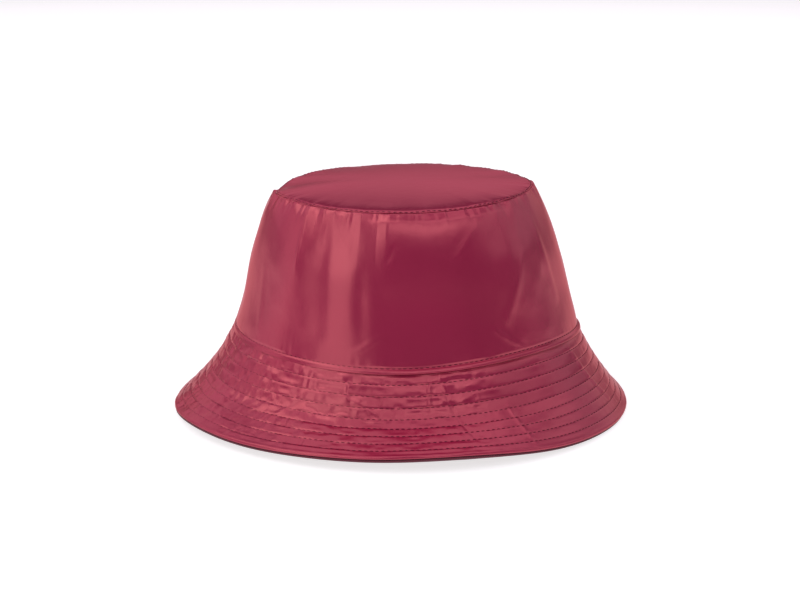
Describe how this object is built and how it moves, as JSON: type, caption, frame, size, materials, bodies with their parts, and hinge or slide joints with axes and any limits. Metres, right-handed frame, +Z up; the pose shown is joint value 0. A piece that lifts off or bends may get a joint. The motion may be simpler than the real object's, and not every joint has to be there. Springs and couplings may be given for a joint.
{
  "type": "reversible bucket hat",
  "caption": "Bucket hat with a flat oval tip, a flared quilted brim and two sewn shells, shiny woven outside and twill inside, that is worn either side out.",
  "frame": {"origin": "on the floor that the brim's edge stands on, in the middle of the outline", "axes": "+Z up through the crown's tip, -Y towards the front of the hat, +X towards its right in the front view"},
  "size_m": [0.2597, 0.256, 0.1289],
  "materials": {
    "outer_weave": "satin sheen of coated thin plain weave",
    "reverse_twill": "matte fine twill",
    "thread": "matte twisted thread"
  },
  "bodies": {
    "root": {"crown_tip": "outer_weave", "crown_side": "outer_weave", "brim": "outer_weave", "lining_tip": "reverse_twill", "lining_side": "reverse_twill", "lining_brim": "reverse_twill"}
  },
  "joints": []
}
